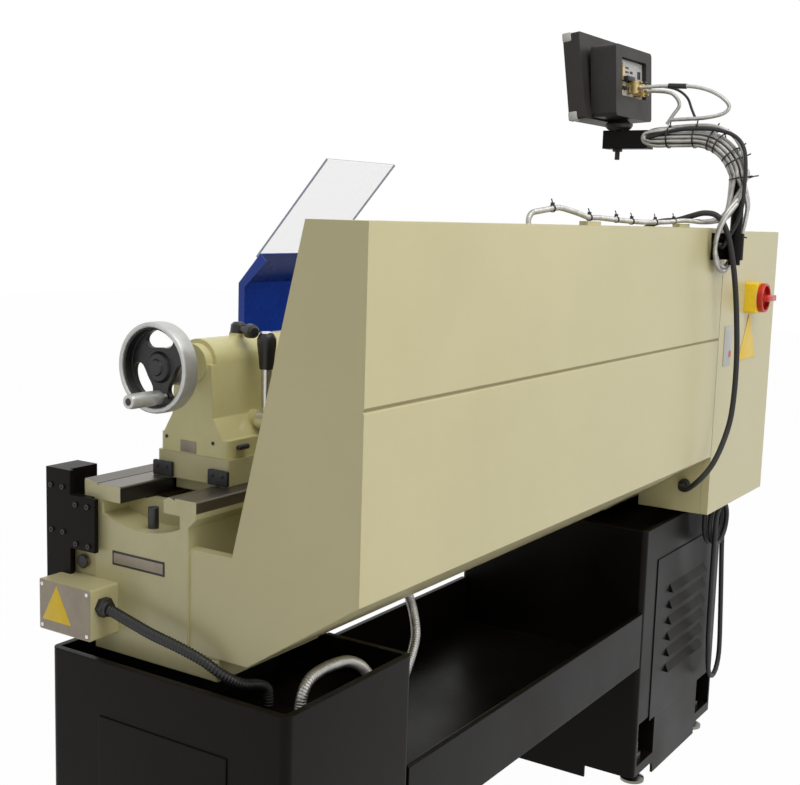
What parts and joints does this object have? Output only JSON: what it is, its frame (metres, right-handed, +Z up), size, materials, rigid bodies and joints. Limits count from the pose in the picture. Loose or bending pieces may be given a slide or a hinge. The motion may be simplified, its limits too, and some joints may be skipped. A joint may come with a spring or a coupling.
{
  "type": "engine lathe",
  "caption": "Engine lathe on a black two-pedestal stand with chip trough, cream splash guard, rear electrical cabinet, carriage shield, tailstock and swivelling readout.",
  "frame": {"origin": "on the floor, under the middle of the machine", "axes": "+X along the spindle from the headstock to the tailstock, +Y away from the operator, +Z up"},
  "size_m": [2.07, 0.8656, 1.8357],
  "materials": {
    "cream_paint": "semi-gloss machine enamel, lightly worn on the ways and edges",
    "black_paint": "satin black with a fine texture",
    "machined_steel": "ground and turned steel",
    "bright_chrome": "polished",
    "black_plastic": "matte moulded",
    "black_rubber": "matte",
    "dark_iron": "cast, partly machined",
    "grey_gear": "moulded switchgear",
    "display_plastic": "textured grey housing",
    "red_plastic": "glossy",
    "blue_paint": "semi-gloss",
    "clear_window": "clear sheet"
  },
  "bodies": {
    "frame": {"stand_base": "black_paint", "stand_panels": "black_paint", "leveling_feet": "machined_steel", "bed": "cream_paint", "headstock": "cream_paint", "feed_gearbox": "cream_paint", "end_bracket": "cream_paint", "rod_cover": "black_paint", "limit_switch_box": "cream_paint", "conduits": "black_plastic", "splash_guard": "cream_paint", "electrical_cabinet": "cream_paint", "electrical_gear": "grey_gear", "signal_cable": "black_rubber", "power_cable": "black_rubber", "readout_arm": "black_paint", "motor": "dark_iron", "drive_belts": "black_rubber"},
    "door": {"cabinet_door": "cream_paint"},
    "main_switch": {"main_switch_knob": "red_plastic"},
    "display": {"readout_display": "display_plastic", "display_leads": "display_plastic"},
    "spindle": {"spindle": "machined_steel", "chuck_body": "machined_steel"},
    "jaw_1": {"chuck_jaw_1": "machined_steel"},
    "jaw_2": {"chuck_jaw_2": "machined_steel"},
    "jaw_3": {"chuck_jaw_3": "machined_steel"},
    "input_pulley": {"input_pulley": "dark_iron"},
    "motor_pulley": {"motor_pulley": "dark_iron"},
    "output_gear": {"output_gear": "machined_steel"},
    "gearbox_gear": {"gearbox_gear": "machined_steel"},
    "end_cover": {"end_cover": "cream_paint"},
    "speed_lever_left": {"speed_lever_left": "bright_chrome"},
    "speed_lever_right": {"speed_lever_right": "bright_chrome"},
    "feed_dial": {"feed_dial": "black_plastic"},
    "stop_button": {"stop_button": "red_plastic"},
    "leadscrew": {"leadscrew": "machined_steel"},
    "feed_rod": {"feed_rod": "machined_steel"},
    "control_rod": {"control_rod": "machined_steel"},
    "carriage": {"saddle": "cream_paint", "apron": "cream_paint"},
    "control_lever": {"control_lever": "black_paint"},
    "cross_slide": {"cross_slide": "machined_steel"},
    "compound": {"compound_base": "machined_steel"},
    "top_slide": {"top_slide": "machined_steel"},
    "tool_post": {"tool_post": "machined_steel"},
    "carriage_handwheel": {"carriage_handwheel": "bright_chrome"},
    "cross_handle": {"cross_handle": "bright_chrome"},
    "top_handle": {"top_handle": "bright_chrome"},
    "half_nut_lever": {"half_nut_lever": "bright_chrome"},
    "shield": {"carriage_shield": "blue_paint", "shield_window": "clear_window"},
    "tailstock": {"tailstock_base": "cream_paint", "tailstock_body": "cream_paint"},
    "quill": {"quill": "machined_steel"},
    "tail_handwheel": {"tail_handwheel": "bright_chrome"},
    "wheel_grip": {"wheel_grip": "bright_chrome"},
    "quill_lock": {"quill_lock": "black_plastic"},
    "clamp_lever": {"clamp_lever": "bright_chrome"},
    "brake_pedal": {"brake_pedal": "black_paint"}
  },
  "joints": [
    {"name": "spindle_turn", "type": "hinge", "parent": "frame", "child": "spindle", "pos_m": [-0.52, -0.044, 1.14], "axis": [1, 0, 0], "continuous": true},
    {"name": "jaw_1_slide", "type": "slide", "parent": "spindle", "child": "jaw_1", "axis": [0, 0, 1], "range_m": [-0.015, 0.04]},
    {"name": "jaw_2_slide", "type": "slide", "parent": "spindle", "child": "jaw_2", "axis": [0, -0.866, -0.5], "range_m": [-0.015, 0.04]},
    {"name": "jaw_3_slide", "type": "slide", "parent": "spindle", "child": "jaw_3", "axis": [0, 0.866, -0.5], "range_m": [-0.015, 0.04]},
    {"name": "input_pulley_turn", "type": "hinge", "parent": "frame", "child": "input_pulley", "pos_m": [-0.975, 0.08, 1.05], "axis": [1, 0, 0], "continuous": true},
    {"name": "motor_pulley_turn", "type": "hinge", "parent": "frame", "child": "motor_pulley", "pos_m": [-0.975, 0.08, 0.3], "axis": [1, 0, 0], "continuous": true},
    {"name": "output_gear_turn", "type": "hinge", "parent": "frame", "child": "output_gear", "pos_m": [-0.933, -0.14997, 1.00134], "axis": [1, 0, 0], "continuous": true},
    {"name": "gearbox_gear_turn", "type": "hinge", "parent": "frame", "child": "gearbox_gear", "pos_m": [-0.933, -0.18, 0.88], "axis": [1, 0, 0], "continuous": true},
    {"name": "end_cover_hinge", "type": "hinge", "parent": "frame", "child": "end_cover", "pos_m": [-0.929, -0.285, 0.98], "axis": [0, 0, 1], "range_deg": [0, 90]},
    {"name": "speed_lever_left_turn", "type": "hinge", "parent": "frame", "child": "speed_lever_left", "pos_m": [-0.81, -0.275, 1.12], "axis": [0, 1, 0], "range_deg": [-30, 30]},
    {"name": "speed_lever_right_turn", "type": "hinge", "parent": "frame", "child": "speed_lever_right", "pos_m": [-0.63, -0.275, 1.12], "axis": [0, 1, 0], "range_deg": [-30, 30]},
    {"name": "feed_dial_turn", "type": "hinge", "parent": "frame", "child": "feed_dial", "pos_m": [-0.72, -0.338, 0.819], "axis": [0, 1, 0], "range_deg": [-120, 120]},
    {"name": "stop_button_press", "type": "slide", "parent": "frame", "child": "stop_button", "axis": [0, 1, 0], "range_m": [0, 0.006], "stiffness_N_per_m": 400, "springref_m": -0.004},
    {"name": "leadscrew_turn", "type": "hinge", "parent": "frame", "child": "leadscrew", "pos_m": [0, -0.18, 0.866], "axis": [1, 0, 0], "continuous": true},
    {"name": "feed_rod_turn", "type": "hinge", "parent": "frame", "child": "feed_rod", "pos_m": [0, -0.18, 0.802], "axis": [1, 0, 0], "continuous": true},
    {"name": "control_rod_turn", "type": "hinge", "parent": "frame", "child": "control_rod", "pos_m": [0, -0.18, 0.75], "axis": [1, 0, 0], "range_deg": [-20, 20]},
    {"name": "carriage_slide", "type": "slide", "parent": "frame", "child": "carriage", "axis": [1, 0, 0], "range_m": [-0.56, 0.04]},
    {"name": "control_lever_turn", "type": "hinge", "parent": "carriage", "child": "control_lever", "pos_m": [0.491, -0.18, 0.75], "axis": [1, 0, 0], "range_deg": [-20, 20]},
    {"name": "cross_slide_travel", "type": "slide", "parent": "carriage", "child": "cross_slide", "axis": [0, -1, 0], "range_m": [-0.09, 0.085]},
    {"name": "compound_swivel", "type": "hinge", "parent": "cross_slide", "child": "compound", "pos_m": [0.32, -0.13, 1.011], "axis": [0, 0, 1], "range_deg": [-45, 45]},
    {"name": "top_slide_travel", "type": "slide", "parent": "compound", "child": "top_slide", "axis": [-1, 0, 0], "range_m": [-0.06, 0.035]},
    {"name": "tool_post_turn", "type": "hinge", "parent": "top_slide", "child": "tool_post", "pos_m": [0.27, -0.13, 1.08], "axis": [0, 0, 1], "range_deg": [-90, 90]},
    {"name": "carriage_handwheel_turn", "type": "hinge", "parent": "carriage", "child": "carriage_handwheel", "pos_m": [0.215, -0.305, 0.822], "axis": [0, 1, 0], "continuous": true},
    {"name": "cross_handle_turn", "type": "hinge", "parent": "carriage", "child": "cross_handle", "pos_m": [0.32, -0.285, 0.9553], "axis": [0, 1, 0], "continuous": true},
    {"name": "top_handle_turn", "type": "hinge", "parent": "top_slide", "child": "top_handle", "pos_m": [0.415, -0.13, 1.0602], "axis": [1, 0, 0], "continuous": true},
    {"name": "half_nut_turn", "type": "hinge", "parent": "carriage", "child": "half_nut_lever", "pos_m": [0.405, -0.299, 0.782], "axis": [0, 1, 0], "range_deg": [0, 50]},
    {"name": "shield_hinge", "type": "hinge", "parent": "carriage", "child": "shield", "pos_m": [0.32, -0.293, 0.9823], "axis": [1, 0, 0], "range_deg": [0, 45]},
    {"name": "tailstock_slide", "type": "slide", "parent": "frame", "child": "tailstock", "axis": [1, 0, 0], "range_m": [-0.04, 0.1]},
    {"name": "quill_travel", "type": "slide", "parent": "tailstock", "child": "quill", "axis": [-1, 0, 0], "range_m": [0, 0.12]},
    {"name": "tail_handwheel_turn", "type": "hinge", "parent": "tailstock", "child": "tail_handwheel", "pos_m": [0.929, -0.044, 1.14], "axis": [1, 0, 0], "continuous": true},
    {"name": "wheel_grip_turn", "type": "hinge", "parent": "tail_handwheel", "child": "wheel_grip", "pos_m": [0.96, -0.03, 1.094], "axis": [1, 0, 0], "continuous": true},
    {"name": "quill_lock_turn", "type": "hinge", "parent": "tailstock", "child": "quill_lock", "pos_m": [0.735, -0.044, 1.18], "axis": [0, 0, 1], "range_deg": [-40, 0]},
    {"name": "clamp_lever_turn", "type": "hinge", "parent": "tailstock", "child": "clamp_lever", "pos_m": [0.748, 0.03, 1.04], "axis": [0, 1, 0], "range_deg": [-60, 15]},
    {"name": "door_hinge", "type": "hinge", "parent": "frame", "child": "door", "pos_m": [-0.977, 0.37, 1.03], "axis": [0, 0, 1], "range_deg": [0, 110]},
    {"name": "main_switch_turn", "type": "hinge", "parent": "door", "child": "main_switch", "pos_m": [-0.758, 0.41, 1.213], "axis": [0, 1, 0], "range_deg": [0, 90]},
    {"name": "display_swivel", "type": "hinge", "parent": "frame", "child": "display", "pos_m": [-0.51, 0.105, 1.614], "axis": [0, 0, 1], "range_deg": [-45, 45]},
    {"name": "pedal_hinge", "type": "hinge", "parent": "frame", "child": "brake_pedal", "pos_m": [0, -0.149, 0.182], "axis": [1, 0, 0], "range_deg": [0, 12], "stiffness_Nm_per_rad": 40, "springref_deg": -20.05}
  ],
  "couplings": [
    {"joint": "jaw_2_slide", "follows": "jaw_1_slide", "ratio": 1},
    {"joint": "jaw_3_slide", "follows": "jaw_1_slide", "ratio": 1},
    {"joint": "input_pulley_turn", "follows": "spindle_turn", "ratio": -2},
    {"joint": "motor_pulley_turn", "follows": "spindle_turn", "ratio": -4.0235},
    {"joint": "output_gear_turn", "follows": "spindle_turn", "ratio": -1},
    {"joint": "gearbox_gear_turn", "follows": "spindle_turn", "ratio": 0.66667},
    {"joint": "leadscrew_turn", "follows": "spindle_turn", "ratio": 0.33333},
    {"joint": "feed_rod_turn", "follows": "spindle_turn", "ratio": -0.16667},
    {"joint": "carriage_handwheel_turn", "follows": "carriage_slide", "rad_per_m": 251.33},
    {"joint": "cross_handle_turn", "follows": "cross_slide_travel", "rad_per_m": -1256.6},
    {"joint": "top_handle_turn", "follows": "top_slide_travel", "rad_per_m": -1256.6},
    {"joint": "control_rod_turn", "follows": "control_lever_turn", "ratio": 1},
    {"joint": "tail_handwheel_turn", "follows": "quill_travel", "rad_per_m": -1256.6}
  ]
}
